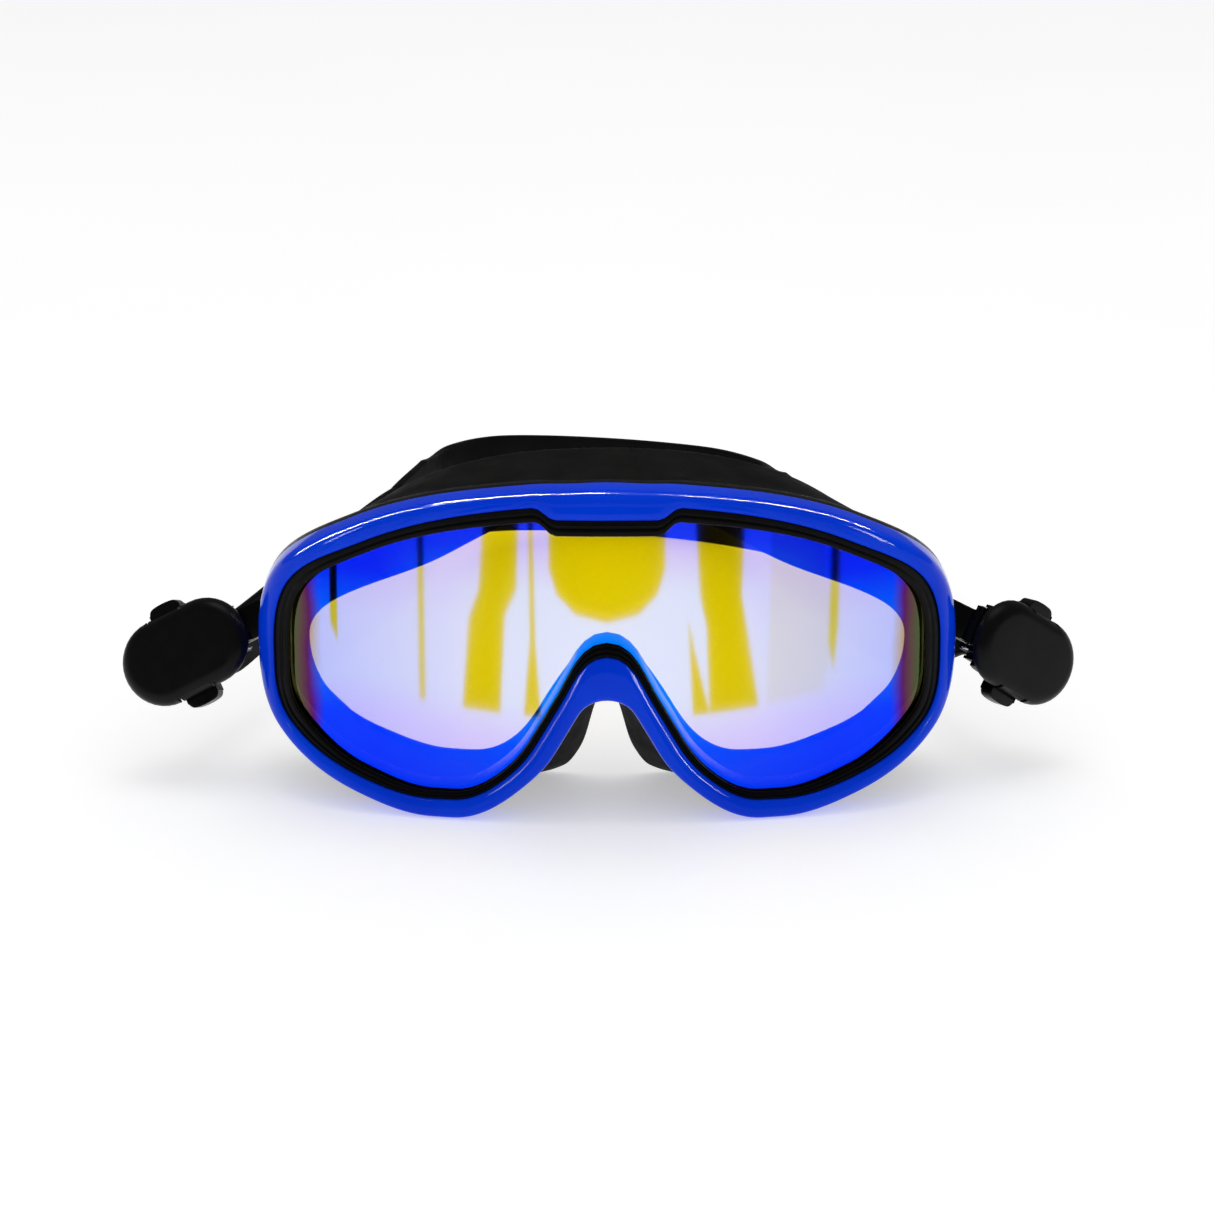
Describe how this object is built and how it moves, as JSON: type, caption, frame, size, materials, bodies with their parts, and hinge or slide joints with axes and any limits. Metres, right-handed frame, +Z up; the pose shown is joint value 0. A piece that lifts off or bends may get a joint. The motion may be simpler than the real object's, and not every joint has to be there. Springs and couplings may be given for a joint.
{
  "type": "swim goggles",
  "caption": "Wide-view swim goggles with a curved mirrored lens, a glossy blue rim, a soft black face skirt and swivelling quick-adjust strap buckles.",
  "frame": {"origin": "On the surface the goggles stand on, on their middle plane, halfway between the lens and the back of the strap", "axes": "+X to the right as seen from the front, +Y from the lens back towards the head, +Z up from the lobes to the brow"},
  "size_m": [0.2263, 0.2074, 0.0822],
  "materials": {
    "rim_blue": "high gloss",
    "seal_black": "satin",
    "lens_mirror": "blue interference mirror over a yellow tint",
    "frame_black": "satin",
    "skirt_silicone": "matte",
    "strap_silicone": "matte",
    "cover_black": "satin",
    "buckle_black": "satin",
    "pin_steel": "plain"
  },
  "bodies": {
    "frame": {"front_rim": "rim_blue", "lens_gasket": "seal_black", "lens": "lens_mirror", "inner_frame": "frame_black", "face_skirt": "skirt_silicone", "strap_side_left": "strap_silicone", "strap_side_right": "strap_silicone", "strap_fork_left": "strap_silicone", "strap_fork_right": "strap_silicone", "strap_rear_upper": "strap_silicone", "strap_rear_lower": "strap_silicone"},
    "buckle_left": {"buckle_base_left": "buckle_black", "buckle_cover_left": "cover_black", "spring_upper_left": "pin_steel", "spring_lower_left": "pin_steel", "roller_pin_left": "pin_steel", "pawl_pin_left": "pin_steel", "hinge_pin_left": "pin_steel", "strap_end_left": "strap_silicone", "strap_keeper_left": "buckle_black"},
    "button_upper_left": {"button_upper_left": "buckle_black"},
    "button_lower_left": {"button_lower_left": "buckle_black"},
    "pawl_left": {"pawl_left": "buckle_black"},
    "roller_left": {"strap_roller_left": "buckle_black"},
    "buckle_right": {"buckle_base_right": "buckle_black", "buckle_cover_right": "cover_black", "spring_upper_right": "pin_steel", "spring_lower_right": "pin_steel", "roller_pin_right": "pin_steel", "pawl_pin_right": "pin_steel", "hinge_pin_right": "pin_steel", "strap_end_right": "strap_silicone", "strap_keeper_right": "buckle_black"},
    "button_upper_right": {"button_upper_right": "buckle_black"},
    "button_lower_right": {"button_lower_right": "buckle_black"},
    "pawl_right": {"pawl_right": "buckle_black"},
    "roller_right": {"strap_roller_right": "buckle_black"}
  },
  "joints": [
    {"name": "swivel_left", "type": "hinge", "parent": "frame", "child": "buckle_left", "pos_m": [-0.087, -0.0707, 0.0367], "axis": [0.4161, -0.4111, -0.8111], "range_deg": [-14, 66], "deforming": ["strap_side_left"]},
    {"name": "press_upper_left", "type": "slide", "parent": "buckle_left", "child": "button_upper_left", "axis": [0.4161, -0.4111, -0.8111], "range_m": [0, 0.0014], "stiffness_N_per_m": 200, "springref_m": -0.001, "deforming": ["spring_upper_left"]},
    {"name": "press_lower_left", "type": "slide", "parent": "buckle_left", "child": "button_lower_left", "axis": [-0.4161, 0.4111, 0.8111], "range_m": [0, 0.0014], "stiffness_N_per_m": 200, "springref_m": -0.001, "deforming": ["spring_lower_left"]},
    {"name": "pawl_lift_left", "type": "hinge", "parent": "buckle_left", "child": "pawl_left", "pos_m": [-0.09258, -0.06974, 0.03335], "axis": [-0.4161, 0.4111, 0.8111], "range_deg": [0, 12]},
    {"name": "roller_spin_left", "type": "hinge", "parent": "buckle_left", "child": "roller_left", "pos_m": [-0.09947, -0.06886, 0.02937], "axis": [-0.4161, 0.4111, 0.8111], "continuous": true},
    {"name": "swivel_right", "type": "hinge", "parent": "frame", "child": "buckle_right", "pos_m": [0.087, -0.0707, 0.0367], "axis": [0.4161, 0.4111, 0.8111], "range_deg": [-38, 42], "deforming": ["strap_side_right"]},
    {"name": "press_upper_right", "type": "slide", "parent": "buckle_right", "child": "button_upper_right", "axis": [-0.4161, -0.4111, -0.8111], "range_m": [0, 0.0014], "stiffness_N_per_m": 200, "springref_m": -0.001, "deforming": ["spring_upper_right"]},
    {"name": "press_lower_right", "type": "slide", "parent": "buckle_right", "child": "button_lower_right", "axis": [0.4161, 0.4111, 0.8111], "range_m": [0, 0.0014], "stiffness_N_per_m": 200, "springref_m": -0.001, "deforming": ["spring_lower_right"]},
    {"name": "pawl_lift_right", "type": "hinge", "parent": "buckle_right", "child": "pawl_right", "pos_m": [0.09122, -0.06741, 0.03287], "axis": [-0.4161, -0.4111, -0.8111], "range_deg": [0, 12]},
    {"name": "roller_spin_right", "type": "hinge", "parent": "buckle_right", "child": "roller_right", "pos_m": [0.09657, -0.06367, 0.02823], "axis": [0.4161, 0.4111, 0.8111], "continuous": true}
  ],
  "couplings": [
    {"joint": "pawl_lift_left", "follows": "press_upper_left", "rad_per_m": 120},
    {"joint": "pawl_lift_right", "follows": "press_upper_right", "rad_per_m": 120}
  ]
}
